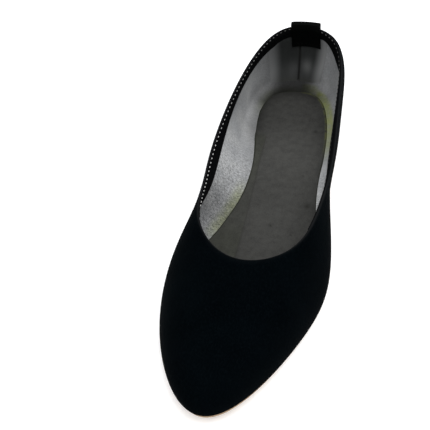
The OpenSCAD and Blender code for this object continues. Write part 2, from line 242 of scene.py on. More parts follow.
def skin(u, t, d):
    """A point of the wall at depth d below the outer surface."""
    return wall(u, t) - wall_normal(u, t) * np.asarray(d, float)[..., None]


def shoulder(u, angle, radius):
    """A point round the folded topline, and its outward direction. Angle 0 faces out of the shoe, pi faces in."""
    t = below_top(u, ROLL)
    out = np.cos(angle)[..., None] * wall_normal(u, t) + np.sin(angle)[..., None] * wall_rise(u, t)
    return skin(u, t, ROLL) + radius * out, out


def at_height(u, d, height):
    """Profile height where the skin at depth d has the given height above the bed."""
    low, high = np.zeros(np.shape(u)), np.ones(np.shape(u))
    for _ in range(26):
        m = (low + high) / 2
        p = skin(u, m, d)
        under = p[..., 2] - bed(p[..., 1]) < height
        low, high = np.where(under, m, low), np.where(under, high, m)
    return (low + high) / 2


def lining_foot(u, t, start, height, turn):
    """Fillet from the lining's wall, at start, down to a flat edge under the sock, for each share of turn."""
    def above_bed(inset, rise):
        plan = foot_outline(u, inset)
        return np.concatenate([plan, (bed(plan[:, 1]) + height + rise)[:, None]], 1)

    end = above_bed(SOCK_INSET + LINING_UNDER_SOCK, 0)
    corner = above_bed(3.6, 0.9)
    drop = start - wall_rise(u, t) * (LINING_FOOT - SOCK_Z) * 0.55
    k = (1 - turn)[None, :, None]
    q = 1 - k
    start, drop, corner, end = (p[:, None] for p in (start, drop, corner, end))
    return q ** 3 * start + 3 * q * q * k * drop + 3 * q * k * k * corner + k ** 3 * end


def foot_rib(s, inner=True, inset=0.0):
    """Rib number where the foot outline, stepped in by inset, crosses station s."""
    a = np.full(np.shape(s), 1.0 if inner else RIB_COUNT - 1.0)
    b = np.full(np.shape(s), float(TOE))
    for _ in range(30):
        m = (a + b) / 2
        low = foot_outline(m, inset)[..., 1] < s
        a = np.where(low, m, a)
        b = np.where(low, b, m)
    return (a + b) / 2


def top_rib(s, inner=True):
    """Rib number where the topline crosses station s."""
    a, b = (1.0 if inner else RIB_COUNT - 1.0), float(TOE)
    for _ in range(30):
        m = (a + b) / 2
        if rib(np.array(m))[3] < s:
            a = m
        else:
            b = m
    return (a + b) / 2


def place(p):
    """World position in metres of (side, station, height) in millimetres."""
    p = np.asarray(p, float)
    return np.stack([p[..., 0], HEEL_CENTRE - p[..., 1], p[..., 2]], -1) * MM


# ---- Meshes ----

def grid_faces(n, m, wrap_u, wrap_v):
    i = np.arange(n if wrap_u else n - 1)
    j = np.arange(m if wrap_v else m - 1)
    i, j = np.meshgrid(i, j, indexing="ij")
    i2, j2 = (i + 1) % n, (j + 1) % m
    return np.stack([i * m + j, i * m + j2, i2 * m + j2, i2 * m + j], -1).reshape(-1, 4)


def add_object(name, data):
    obj = bpy.data.objects.new(name, data)
    bpy.context.scene.collection.objects.link(obj)
    return obj


def make_object(name, verts, faces, attributes=None):
    mesh = bpy.data.meshes.new(name)
    mesh.from_pydata([tuple(v) for v in verts], [], [tuple(f) for f in faces])
    mesh.validate()
    for key, values in (attributes or {}).items():
        layer = mesh.attributes.new(key, "FLOAT", "POINT")
        layer.data.foreach_set("value", np.asarray(values, np.float32).ravel())
    mesh.polygons.foreach_set("use_smooth", [True] * len(mesh.polygons))
    return add_object(name, mesh)


def loft(name, points, wrap_u=False, wrap_v=False, cap=False, attributes=None):
    """An object from a grid of (side, station, height) points. With cap, the two end sections are closed."""
    n, m = points.shape[:2]
    faces = grid_faces(n, m, wrap_u, wrap_v).tolist()
    if cap:
        faces.append(list(range(m)))
        faces.append([(n - 1) * m + j for j in reversed(range(m))])
    return make_object(name, place(points).reshape(-1, 3), faces, attributes)


def section(outer, inner):
    """Joins an outer and an inner run of points into closed sections."""
    return np.concatenate([outer, inner[:, ::-1]], axis=1)


def on_both_runs(shape, fields):
    """Attribute values for the outer and the inner run of a section."""
    full = {key: np.broadcast_to(values, shape) for key, values in fields.items()}
    return {key: section(values, values) for key, values in full.items()}


def bend_at_toe(obj):
    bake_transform(obj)


# ---- Materials ----

class Shader:
    """Short calls for building a node material. Scales are per millimetre."""

    def __init__(self, name, **principled):
        self.mat = bpy.data.materials.new(name)
        self.mat.use_nodes = True
        self.tree = self.mat.node_tree
        self.bsdf = self.tree.nodes["Principled BSDF"]
        for key, value in principled.items():
            self.bsdf.inputs[key.replace("_", " ")].default_value = value
        self.coords = self.tree.nodes.new("ShaderNodeTexCoord").outputs["Object"]

    def node(self, kind, **settings):
        made = self.tree.nodes.new(kind)
        for key, value in settings.items():
            setattr(made, key, value)
        return made

    def link(self, source, target):
        self.tree.links.new(source, target)

    def feed(self, target, value):
        if hasattr(value, "is_linked"):
            self.link(value, target)
        else:
            target.default_value = value

    def texture(self, kind, per_mm, stretch=(1, 1, 1)):
        mapping = self.node("ShaderNodeMapping")
        mapping.inputs["Scale"].default_value = [1000 * per_mm * k for k in stretch]
        self.link(self.coords, mapping.inputs["Vector"])
        made = self.node(kind)
        made.inputs["Scale"].default_value = 1.0
        self.link(mapping.outputs["Vector"], made.inputs["Vector"])
        return made

    def noise(self, per_mm, detail=3.0, roughness=0.5, stretch=(1, 1, 1)):
        made = self.texture("ShaderNodeTexNoise", per_mm, stretch)
        made.inputs["Detail"].default_value = detail
        made.inputs["Roughness"].default_value = roughness
        return made.outputs["Fac"]

    def cells(self, per_mm):
        return self.texture("ShaderNodeTexVoronoi", per_mm).outputs["Distance"]

    def attribute(self, name):
        made = self.node("ShaderNodeAttribute", attribute_name=name)
        return made.outputs["Fac"]

    def math(self, operation, a, b=0.0):
        made = self.node("ShaderNodeMath", operation=operation)
        self.feed(made.inputs[0], a)
        self.feed(made.inputs[1], b)
        return made.outputs[0]

    def remap(self, value, low, high, to_low=0.0, to_high=1.0):
        made = self.node("ShaderNodeMapRange")
        made.inputs["From Min"].default_value = low
        made.inputs["From Max"].default_value = high
        made.inputs["To Min"].default_value = to_low
        made.inputs["To Max"].default_value = to_high
        self.link(value, made.inputs["Value"])
        return made.outputs["Result"]

    def blend(self, factor, a, b):
        made = self.node("ShaderNodeMix", data_type="RGBA")
        self.feed(made.inputs["Factor"], factor)
        self.feed(made.inputs[6], a)
        self.feed(made.inputs[7], b)
        return made.outputs[2]

    def scale(self, colour, factor):
        """Colour made lighter or darker by a factor."""
        made = self.node("ShaderNodeVectorMath", operation="SCALE")
        self.feed(made.inputs[0], colour)
        self.feed(made.inputs["Scale"], factor)
        return made.outputs[0]

    def multiply(self, colour, tint):
        """Colour tinted channel by channel."""
        made = self.node("ShaderNodeVectorMath", operation="MULTIPLY")
        self.feed(made.inputs[0], colour)
        self.feed(made.inputs[1], tint)
        return made.outputs[0]

    def bump(self, height, distance_mm, strength=1.0):
        made = self.node("ShaderNodeBump")
        made.inputs["Distance"].default_value = distance_mm * MM
        made.inputs["Strength"].default_value = strength
        self.link(height, made.inputs["Height"])
        if self.bsdf.inputs["Normal"].is_linked:
            self.link(self.bsdf.inputs["Normal"].links[0].from_socket, made.inputs["Normal"])
        self.link(made.outputs["Normal"], self.bsdf.inputs["Normal"])

    def set(self, key, value):
        self.feed(self.bsdf.inputs[key], value)

    def on(self, obj, slot=None):
        obj.data.materials.clear()
        obj.data.materials.append(self.mat)


def rgb(r, g, b):
    return (r, g, b, 1.0)


def suede():
    s = Shader("black_suede", Roughness=0.95, Specular_IOR_Level=0.01,
               Sheen_Roughness=0.5, Sheen_Tint=rgb(0.75, 0.85, 1.0))
    brushed = s.noise(0.05, 3.0, 0.55)
    nap = s.noise(1.6, 4.0, 0.6, (1, 0.5, 1))
    grain = s.noise(6.0, 2.0, 0.5)
    dark = s.blend(s.remap(brushed, 0.35, 0.7), rgb(0.0001, 0.0006, 0.001), rgb(0.0003, 0.001, 0.0015))
    fibre = s.blend(s.remap(nap, 0.45, 0.75, 0.0, 0.5), dark, rgb(0.0018, 0.0032, 0.004))
    # The folded topline edge gets a painted highlight, where the fold catches the light.
    s.set("Base Color", s.blend(s.attribute("edge"), fibre, rgb(0.008, 0.0085, 0.009)))
    s.set("Sheen Weight", s.remap(brushed, 0.3, 0.75, 0.0005, 0.002))
    s.bump(nap, 0.12, 0.5)
    s.bump(grain, 0.05, 0.6)
    return s


def lining_cloth():
    s = Shader("silver_grey_lining", Roughness=0.75, Specular_IOR_Level=0.08)
    fleck = s.noise(0.7, 4.0, 0.75, (1, 1.4, 1))
    fibre = s.noise(2.2, 3.0, 0.7, (1, 0.5, 1))
    cloud = s.noise(0.07, 3.0, 0.5)
    base = s.blend(s.remap(cloud, 0.35, 0.65), rgb(0.27, 0.275, 0.28), rgb(0.33, 0.333, 0.333))
    # The lining's colour is scaled by painted light and shade, worked out in lining_fields.
    toned = s.scale(base, s.attribute("light_and_shade_tone"))
    speck = s.math("ADD", s.remap(fleck, 0.3, 0.7, -1, 1), s.remap(fibre, 0.3, 0.7, -0.7, 0.7))
    grain = s.math("MULTIPLY_ADD", speck, s.attribute("grain"))
    grain.node.inputs[2].default_value = 1.0
    flecked = s.scale(toned, grain)
    spread = s.remap(s.noise(0.3, 2.0), 0.35, 0.6, 0.65, 1.0)
    tint = s.blend(s.math("MULTIPLY", s.attribute("glue"), spread), rgb(1, 1, 1), rgb(0.9, 0.97, 0.42))
    s.set("Base Color", s.multiply(flecked, tint))
    s.bump(fleck, 0.1, 0.5)
    return s


def sock_cloth():
    s = Shader("grey_brown_sock", Roughness=0.85, Specular_IOR_Level=0.1)
    mottle = s.noise(0.25, 4.0, 0.6)
    fine = s.noise(2.2, 3.0, 0.6)
    base = s.blend(s.remap(mottle, 0.35, 0.65), rgb(0.028, 0.0278, 0.0262), rgb(0.04, 0.0398, 0.0372))
    flecked = s.blend(s.remap(fine, 0.4, 0.68, 0.0, 0.6), base, rgb(0.053, 0.0528, 0.0495))
    flecked = s.scale(flecked, s.attribute("shade"))
    ledge = s.multiply(flecked, s.blend(s.attribute("ledge"), rgb(1, 1, 1), rgb(0.84, 0.87, 0.78)))
    # Painted shade in the crease.
    ledge = s.blend(s.math("MULTIPLY", s.attribute("crease"), 0.4), ledge, rgb(0.02, 0.02, 0.018))
    ledge = s.blend(s.math("MULTIPLY", s.attribute("spots"), 0.95), ledge, rgb(0.017, 0.017, 0.015))
    glue = s.math("MULTIPLY", s.attribute("glue"), s.remap(s.noise(0.3, 3.0), 0.35, 0.6))
    glued = s.blend(glue, ledge, rgb(0.12, 0.13, 0.04))
    # A painted shadow darkens the sock along its edge.
    s.set("Base Color", s.blend(s.math("MULTIPLY", s.attribute("rim"), 0.9), glued, rgb(0.014, 0.016, 0.009)))
    s.bump(fine, 0.1, 0.5)
    return s


def band_cloth():
    s = Shader("black_topline_band", Roughness=0.75, Specular_IOR_Level=0.02)
    weave = s.cells(1.6)
    s.set("Base Color", s.blend(s.remap(weave, 0.1, 0.7), rgb(0.0004, 0.0005, 0.0006), rgb(0.003, 0.0033, 0.0036)))
    s.bump(weave, 0.15, 0.8)
    return s


def grip_cloth():
    s = Shader("dark_grey_heel_grip", Roughness=0.9, Specular_IOR_Level=0.05, Sheen_Weight=0.02)
    streak = s.noise(0.12, 3.0, 0.6, (1, 1, 0.25))
    fine = s.noise(2.5, 3.0, 0.6)
    base = s.blend(s.attribute("high"), rgb(0.037, 0.0385, 0.038), rgb(0.0225, 0.024, 0.0235))
    base = s.scale(base, s.remap(streak, 0.35, 0.65, 0.85, 1.15))
    # Painted highlight on the bulge of the panels.
    lit = s.blend(s.attribute("light"), base, rgb(0.085, 0.087, 0.086))
    # Painted shade at the lower end, olive dark.
    foot = s.blend(s.math("MULTIPLY", s.attribute("foot"), 0.8), lit, rgb(0.042, 0.043, 0.035))
    # The rims fade into the grey of the lining beside them, with its painted shade: darker on the left, lighter on the
    # right.
    rim = s.blend(s.attribute("outer"), rgb(0.165, 0.168, 0.168), rgb(0.21, 0.213, 0.213))
    painted_light_and_shade = s.blend(s.attribute("fade"), foot, rim)
    s.set("Base Color", s.blend(s.attribute("seam"), painted_light_and_shade, rgb(0.009, 0.009, 0.0085)))
    s.bump(fine, 0.1, 0.5)
    return s


def ribbon_cloth():
    s = Shader("black_ribbon", Roughness=0.6, Specular_IOR_Level=0.03)
    thread = s.noise(3.0, 2.0, 0.5, (3, 1, 1))
    s.set("Base Color", s.blend(s.remap(thread, 0.3, 0.7), rgb(0.0002, 0.0004, 0.0003), rgb(0.0008, 0.0011, 0.0009)))
    s.bump(thread, 0.05, 0.5)
    return s


def thread(name, colour, shade, sheen=0.0):
    s = Shader(name, Roughness=0.7, Specular_IOR_Level=0.05, Sheen_Weight=sheen)
    twist = s.noise(3.0, 2.0)
    # Brightness from sew(): darker towards the heel, with painted shade along the outer side.
    s.set("Base Color", s.scale(s.blend(s.remap(twist, 0.35, 0.65), colour, shade), s.attribute("thread_brightness")))
    s.bump(twist, 0.05, 0.5)
    return s


def rubber(name, light, dark):
    s = Shader(name, Specular_IOR_Level=0.3)
    cloud = s.noise(0.08, 3.0)
    grain = s.noise(2.5, 3.0, 0.6)
    s.set("Base Color", s.blend(s.remap(cloud, 0.3, 0.7), light, dark))
    s.set("Roughness", s.remap(grain, 0.3, 0.7, 0.6, 0.85))
    s.bump(grain, 0.08, 0.5)
    return s


def stacked_board():
    s = Shader("stacked_heel_board", Roughness=0.55)
    fibre = s.noise(1.2, 4.0, 0.6, (0.3, 0.3, 3.0))
    s.set("Base Color", s.blend(s.remap(fibre, 0.35, 0.65), rgb(0.045, 0.028, 0.018), rgb(0.1, 0.062, 0.038)))
    s.bump(fibre, 0.06, 0.5)
    return s


def plain_fibre(name, light, dark, rough=0.9, metallic=0.0, per_mm=0.8):
    """Hidden pieces: board, foam, felt, tape or brushed metal."""
    s = Shader(name, Roughness=rough, Metallic=metallic)
    grain = s.noise(per_mm, 4.0, 0.6)
    s.set("Base Color", s.blend(s.remap(grain, 0.35, 0.65), light, dark))
    s.bump(grain, 0.08, 0.5)
    return s


# ---- Upper ----

def round_ribs(per_rib=24):
    """Rib numbers at equal steps round the shoe."""
    n = per_rib * RIB_COUNT
    return np.arange(n) * RIB_COUNT / n


def foot_skin(u, t, d):
    """The skin with its foot: a rounded corner, and the margin under it, where t runs from 0 to -1."""
    corner = 1.6
    down = np.array([0, 0, -1.0])
    in_margin = t < 0
    p = wall(u, np.maximum(t, 0))
    height = p[..., 2] - bed(p[..., 1])
    lean = np.clip(1 - height / corner, 0, 1)
    tuck = corner * (1 - np.sqrt(1 - lean ** 2))
    tuck = np.where(in_margin, corner * 0.9 - t * MARGIN, tuck)
    n = unit(mix(wall_normal(u, np.maximum(t, 0.01)), down, (lean ** 2)[..., None]))
    n = np.where(in_margin[..., None], down, n)
    p = p - foot_normal(u) * tuck[..., None]
    p[..., 2] = np.where(in_margin, bed(p[..., 1]), p[..., 2])
    return p - n * np.asarray(d, float)[..., None]


def upper():
    """Suede shell in one run round its section: margin, outer wall, folded topline, hem and inner wall."""
    u = np.unique(np.concatenate([round_ribs(), HEEL_SEAM + np.linspace(-0.06, 0.06, 17)]))[:, None]
    t_end = below_top(u, ROLL)
    low_rows = np.array([-1, -0.6, -0.3, -0.05, 0.002, 0.008, 0.018, 0.03, 0.045, 0.062, 0.085])
    high_rows = np.linspace(0.11, 0.97, 44) * t_end
    rows = np.concatenate([np.broadcast_to(low_rows, (len(u), len(low_rows))), high_rows], axis=1)
    from_seam = np.abs(u - HEEL_SEAM) * HEEL_RIB
    seam = 0.45 * np.exp(-(from_seam / 0.3) ** 2) - 0.15 * np.exp(-((from_seam - 0.75) / 0.3) ** 2)
    seam = seam * smooth(rows / 0.05) * smooth((1 - rows / t_end) / 0.02)
    outer = foot_skin(u, rows, seam)
    roll_points = 9
    turn = np.linspace(0, math.pi, roll_points)
    roll = shoulder(u, turn[None], ROLL)[0]
    hem = [skin(u, below_top(u, w), d) for w, d in ((1.3, 2 * ROLL), (1.8, 2 * ROLL), (2.0, UPPER_T))]
    inner_rows = np.concatenate([[-1, -0.5, -0.05, 0.03, 0.085], np.linspace(0.16, 0.9, 20)])
    inside = foot_skin(u, inner_rows[None], UPPER_T)
    points = np.concatenate([outer, roll] + hem + [inside[:, ::-1]], axis=1)
    # Painted highlight along the folded topline, strongest at the top of the roll.
    edge = np.zeros(points.shape[:2])
    first = outer.shape[1]
    edge[:, first:first + roll_points] = np.sin(np.linspace(0.1, 3.0, roll_points))
    obj = loft("upper", points, wrap_u=True, wrap_v=True, attributes={"edge": edge})
    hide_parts("vamp", "vamp_wings", "quarter_medial", "quarter_lateral")
    bend_at_toe(obj)
    suede().on(obj, "suede")


def lining_fields(face):
    """Painted light and shade along the wall, painted shade round the heel grip and next to the sock, old glue and
    speckle. Up is the way up from the sock's edge, inner the foot's inner side.
    """
    x, s = face[..., 0], face[..., 1]
    step = np.linalg.norm(np.diff(face, axis=1), axis=2)
    up = np.maximum(0, np.concatenate([0 * x[:, :1], np.cumsum(step, 1)], 1) - LINING_UNDER_SOCK)
    inner = smooth((2 - x) / 6)
    # Painted light and shade along the length of the wall, one run for the outer side and one for the inner side.
    light_and_shade_tone = mix(np.interp(s, (0, 60, 85, 120, 160, 170), (0.8, 1.05, 1.4, 1.3, 1.1, 0.8)),
               np.interp(s, (0, 25, 38, 50, 90, 102, 116, 128, 140), (1.1, 1.1, 1.0, 0.88, 1.0, 0.88, 0.52, 0.52, 0.8)),
               inner)
    heel = mix(smooth((24 - s) / 12), smooth((40 - s) / 20), inner)
    # Painted shade beside and below the heel grip, darkest low down next to the sock.
    behind = (-29, -25, -21, -17, -13, 1.5, 4.5, 8, 12, 16)
    shade_wall = np.interp(x, behind, (1.15, 0.9, 0.57, 0.42, 0.4, 0.4, 0.5, 0.6, 0.66, 0.8))
    shade_top = np.interp(x, behind, (0.72, 0.57, 0.46, 0.23, 0.1, 0.08, 0.18, 0.4, 0.62, 0.8))
    shade_foot = np.interp(x, behind, (0.3, 0.22, 0.13, 0.045, 0.025, 0.05, 0.08, 0.15, 0.3, 0.5))
    shade = mix(mix(shade_foot, shade_top, np.clip(up / 9, 0, 1)), shade_wall, smooth((up - 9) / 10))
    # Painted shade low on the wall next to the sock, stronger on the inner side between the heel and the waist.
    edge_dark = mix(0.25, 0.55, inner * smooth((68 - s) / 20) * smooth((s - 24) / 12))
    light_and_shade_tone = mix(light_and_shade_tone, np.minimum(light_and_shade_tone, shade), heel) * (1 - edge_dark * (1 - smooth(up / 10)))
    corner = smooth((x - 8) / 4) * mix(1, 0.75, smooth((s - 30) / 25)) * smooth((80 - s) / 25)
    patch = 0.6 * smooth((x + 1) / 3) * smooth((12 - x) / 4) * smooth((12 - s) / 4)
    front_edge = 0.55 * inner * smooth((s - 92) / 20) * smooth((142 - s) / 8)
    glue = corner * (1 - smooth((up - 2.5) / 3)) + patch * (1 - smooth((up - 5) / 2))
    glue = glue + front_edge * (1 - smooth((up - 2) / 6)) + 0.35 * inner * heel * (1 - smooth(up / 6))
    return {"light_and_shade_tone": light_and_shade_tone, "glue": np.clip(glue, 0, 1), "grain": mix(0.17, 0.6, smooth((s - 60) / 55))}


def lining():
    """Lining of the walls, with a foot turned in under the sock."""
    u = round_ribs()
    top = below_top(u, 1.2)
    low = at_height(u, LINING_D + LINING_T, LINING_FOOT)
    t = mix(low[:, None], top[:, None], np.linspace(0, 1, 34))
    turn = np.linspace(0, 1, 18)[:-1]

    def run(depth, height):
        side = skin(u[:, None], t, depth)
        return np.concatenate([lining_foot(u, low, side[:, 0], height, turn), side], 1)

    face = run(LINING_D + LINING_T, SOCK_Z - 0.05)
    back = run(LINING_D, SOCK_Z - 0.05 - LINING_T)
    fields = on_both_runs(face.shape[:2], lining_fields(face))
    obj = loft("lining", section(back, face), wrap_u=True, wrap_v=True, attributes=fields)
    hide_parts("vamp_lining", "quarter_lining_medial", "quarter_lining_lateral")
    bend_at_toe(obj)
    lining_cloth().on(obj, "lining_textile")


# ---- Topline band ----

BAND_ENDS = (top_rib(BAND_FRONT, inner=False) - RIB_COUNT, top_rib(BAND_FRONT))


def band_width(u):
    """Width below the topline: narrower at the back, wider on the outer side of the heel, tapered at the ends."""
    from_end = np.minimum(u - BAND_ENDS[0], BAND_ENDS[1] - u)
    heel = 9 * smooth((u + 2.1) / 1.2) * smooth((-0.45 - u) / 0.6)
    back = 2 * (1 - smooth((np.abs(u) - 0.5) / 0.4))
    return 3.0 + (BAND_W - 3.0 + heel - back) * smooth(from_end / 0.45 + 0.25)


def topline_band():
    """The band starts on the folded edge and comes down the lining. Its long edges are rounded."""
    u = np.linspace(*BAND_ENDS, 460)[:, None]
    turn = np.radians(np.linspace(112, 176, 9))[None]
    edge = np.sqrt(np.clip(1 - np.linspace(1, 0, 9) ** 4, 0, 1))[None, :, None]
    over = shoulder(u, turn, ROLL + 0.03 + BAND_T * edge)[0]
    under = shoulder(u, turn, ROLL + 0.02)[0]
    across = np.linspace(0, 1, 14)[None]
    w = mix(1.5, band_width(u), across)
    t = below_top(u, w)
    ease = smooth((w - 0.8) / 1.6)
    bulge = np.sqrt(np.clip(1 - across ** 8, 0, 1))
    face = skin(u, t, mix(2 * ROLL + 0.03, BAND_D, ease) + BAND_T * bulge)
    back = skin(u, t, mix(2 * ROLL + 0.02, BAND_D - 0.05, ease))
    outer = np.concatenate([under, back], 1)
    inner = np.concatenate([over, face], 1)
    obj = loft("topline_band_woven", section(outer, inner), wrap_v=True, cap=True)
    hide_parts("topline_band")
    bend_at_toe(obj)
    band_cloth().on(obj, "binding_textile")


def topline_tape():
    """Narrow tape inside the folded edge, between the upper and the lining, all the way round the opening."""
    u = round_ribs()[:, None]
    t = below_top(u, np.linspace(*TAPE_EDGES, 8)[None])
    back, face = (skin(u, t, d) for d in TAPE_D)
    obj = loft("topline_tape_woven", section(back, face), wrap_u=True, wrap_v=True)
    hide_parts("topline_tape")
    bend_at_toe(obj)
    plain_fibre("woven_tape", rgb(0.5, 0.5, 0.47), rgb(0.4, 0.4, 0.38), per_mm=2.0).on(obj, "reinforcing_tape")


def walk_topline(a, b, step):
    """Rib numbers at equal distances along the topline."""
    fine = np.linspace(a, b, 4000)
    p = wall(fine, np.ones_like(fine))
    run = np.concatenate([[0], np.cumsum(np.linalg.norm(np.diff(p, axis=0), axis=1))])
    return np.interp(np.arange(step / 2, run[-1], step), run, fine)


def capsule(length, radius, rings=7, sides=8):
    """A stitch along x: a thread that dips at both ends. Returns vertices and faces in millimetres."""
    verts = []
    for k in range(rings):
        a = k / (rings - 1)
        x = (a - 0.5) * length
        r = radius * math.sqrt(max(0.05, 1 - (2 * a - 1) ** 4))
        dip = -0.55 * radius * (2 * a - 1) ** 4
        for j in range(sides):
            b = 2 * math.pi * j / sides
            verts.append((x, r * math.cos(b), dip + r * math.sin(b)))
    faces = grid_faces(rings, sides, False, True).tolist()
    faces.append(list(range(sides)))
    faces.append([(rings - 1) * sides + j for j in reversed(range(sides))])
    return np.array(verts), faces


def sew(name, spots, length, radius):
    """Stitches at a list of (point, direction along the row, direction out of the cloth)."""
    shape, faces = capsule(length, radius)
    all_verts, all_faces = [], []
    for p, along, out in spots:
        across = unit(np.cross(out, along))
        tilt = random.uniform(-0.12, 0.12)
        along, across = along + across * tilt, across - along * tilt
        local = shape * [random.uniform(0.92, 1.06), 1, 1]
        base = len(all_verts) * len(shape)
        all_verts.append(p + local[:, :1] * along + local[:, 1:2] * across + local[:, 2:] * out)
        all_faces.extend([[base + k for k in f] for f in faces])
    verts = np.concatenate(all_verts)
    x, s = verts[:, 0], verts[:, 1]
    # Thread is darker towards the heel; along the outer side the darkening is painted shade.
    thread_brightness = 0.12 + 0.88 * np.clip(s / 105, 0, 1) ** 1.3
    thread_brightness = thread_brightness * (1 - 0.9 * smooth((x - 18) / 8) * smooth((s - 22) / 18))
    return make_object(name, place(verts), all_faces, {"thread_brightness": thread_brightness})


def topline_stitches():
    """A row on the band's edge, lower down along the outer side and left out behind the pull loop."""
    spots = []
    for u in walk_topline(BAND_ENDS[0] + 0.06, BAND_ENDS[1] - 0.25, STITCH_PITCH):
        if -0.45 < u < 0.37:
            continue
        pair = np.array([u, u + 0.01])
        p, out = shoulder(pair, np.radians([160, 160]), ROLL + BAND_T + 0.1)
        lower = smooth((-0.85 - u) / 0.5)
        t = below_top(pair, 2.4)
        inside = skin(pair, t, BAND_D + BAND_T)
        p = mix(p, inside, lower)
        out = unit(mix(out, -wall_normal(pair, t), lower))
        spots.append((p[0], unit(p[1] - p[0]), out[0]))
    obj = sew("topline_stitches", spots, STITCH_LEN, STITCH_R)
    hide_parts("topline_stitching")
    bend_at_toe(obj)
    thread("off_white_thread", rgb(0.4, 0.4, 0.385), rgb(0.55, 0.54, 0.52), 0.1).on(obj, "light_thread")


# ---- Heel grip and pull loop ----

def rib_at_side(x, t, d):
    """Rib number near the heel where the wall at t and depth d has the given side position."""
    a = np.full(np.shape(x), -1.3)
    b = np.full(np.shape(x), 1.3)
    for _ in range(26):
        m = (a + b) / 2
        more = skin(m, t, d)[..., 0] > x
        a = np.where(more, m, a)
        b = np.where(more, b, m)
    return (a + b) / 2


def heel_grip():
    """Two soft panels joined at the centre back seam, thinned out towards their sides and lower end."""
    rows = np.linspace(0, 1, 40)[None]
    share = np.linspace(0, 1, 71)[:, None]
    right = mix(*GRIP_RIGHT, smooth(rows * 1.3))
    x = mix(GRIP_LEFT, right, share)
    depth = BAND_D - 0.1
    guess = rib_at_side(x, 0.5, depth)
    t = mix(0.07, below_top(guess, BAND_W - 4.0), rows)
    u = rib_at_side(x, t, depth)
    rim = np.minimum(x - GRIP_LEFT, right - x)
    edge = smooth(rim / 6 + 0.02) * smooth(rows * 6 + 0.02) * smooth((1 - rows) / 0.09)
    seam_x = mix(-3.1, -1.4, rows)
    seam = np.exp(-((x - seam_x) / 0.7) ** 2)
    pillow = 0.35 * np.sin(np.clip((x - seam_x) / 12, 0, 1) * math.pi) * np.sin(math.pi * rows)
    fold = 0.1 * np.sin(2 * math.pi * rows * GRIP_FOLDS) * smooth((rows - 0.72) / 0.1) * (1 - seam)
    lift = edge * (0.5 + pillow + fold - 0.42 * seam)
    face = skin(u, t, depth + 0.09 + lift)
    back = skin(u, t, depth - 0.1)
    h = face[..., 2] - bed(face[..., 1])
    # Painted highlight on the bulge right of the seam, and a weaker one on the left panel.
    light = np.exp(-((x - 2.8) / 3.2) ** 2 - ((h - 20) / 4.5) ** 2)
    light = light + 0.35 * np.exp(-((x + 6) / 3.2) ** 2 - ((h - 18) / 5) ** 2)
    fields = on_both_runs(x.shape, {
        "seam": seam,
        "light": light,
        # The rim colour is picked by side, to match the lining's painted shade beside the grip.
        "outer": smooth(x / 8),
        "fade": (1 - smooth(rim / 7.5)) * mix(0.55, 1, smooth(rows / 0.4)),
        # Painted shade at the grip's lower end.
        "foot": 1 - smooth(rows / 0.25),
        "high": smooth((h - 14) / 14),
    })
    obj = loft("heel_grip_panel", section(back, face), wrap_v=True, cap=True, attributes=fields)
    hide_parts("heel_grip")
    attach(obj, "rearfoot")
    grip_cloth().on(obj, "grip_suede")


def pull_loop():
    """One ribbon: up the inside of the heel, over in a flat bight and down the outside."""
    columns = 37
    root = wall(np.array(0.0), np.array(1.0))
    x = np.linspace(-LOOP_W / 2, LOOP_W / 2, columns)
    side_x = root[0] + LOOP_SIDE + x
    inner_d, outer_d = BAND_D + BAND_T + 0.45, -0.45
    leg = np.linspace(LOOP_LEG, 0.2, 40)

    def leg_points(w, d):
        t = below_top(rib_at_side(side_x, 0.9, d), w)
        return skin(rib_at_side(side_x, t, d), t, d)

    inner = np.stack([leg_points(w, inner_d) for w in leg], 1)
    outer = np.stack([leg_points(w, outer_d) for w in leg[::-1]], 1)
    top_in, top_out = inner[:, -1], outer[:, 0]
    middle = (top_in + top_out) / 2
    half = np.linalg.norm(top_out - top_in, axis=1, keepdims=True) / 2
    ahead = unit(top_out - top_in)
    flat = middle.copy()
    flat[:, 1] = mix(middle[:, 1], middle[:, 1].mean(), 0.75)
    flat[:, 2] = root[2]
    rise = LOOP_H - 1.4
    arch = []
    for a in np.linspace(0, 1, 31)[1:-1]:
        angle = math.pi * a
        swell = 1.0 + 0.25 * math.sin(angle)
        up = rise * min(1.0, math.sin(angle) ** 0.55)
        base = mix(middle, flat, min(1.0, up / rise))
        bow = -0.35 * (x / (LOOP_W / 2)) ** 2 * up / rise
        p = base - ahead * half * math.cos(angle) * swell
        p[:, 2] = base[:, 2] + up + bow
        arch.append(p)
    path = np.concatenate([inner, np.stack(arch, 1), outer], 1)
    run = np.concatenate([[0], np.cumsum(np.linalg.norm(np.diff(path[columns // 2], axis=0), axis=1))])
    fine = np.arange(0, run[-1], 0.15)
    path = np.stack([[np.interp(fine, run, path[i, :, k]) for k in range(3)] for i in range(columns)])
    path = np.moveaxis(path, 1, 2)
    for _ in range(3):
        path[:, 1:-1] = (path[:, :-2] + 2 * path[:, 1:-1] + path[:, 2:]) / 4
    along = unit(np.gradient(path, axis=1))
    side = unit(np.gradient(path, axis=0))
    out = unit(np.cross(side, along))
    ribs = 0.07 * np.sin(2 * math.pi * fine / RIBBON_PITCH)[None, :, None]
    selvage = (0.12 * np.exp(-((np.abs(x) - LOOP_W / 2) / 0.6) ** 2))[:, None, None]
    face = path + out * (RIBBON_T / 2 + ribs - selvage)
    back = path - out * (RIBBON_T / 2 + ribs - selvage)
    ring = np.concatenate([face, back[::-1]], 0)
    obj = loft("pull_loop_ribbon", np.moveaxis(ring, 0, 1), wrap_v=True, cap=True)
    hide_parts("pull_loop", "pull_loop_legs")
    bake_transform(obj)
    ribbon_cloth().on(obj, "ribbon")


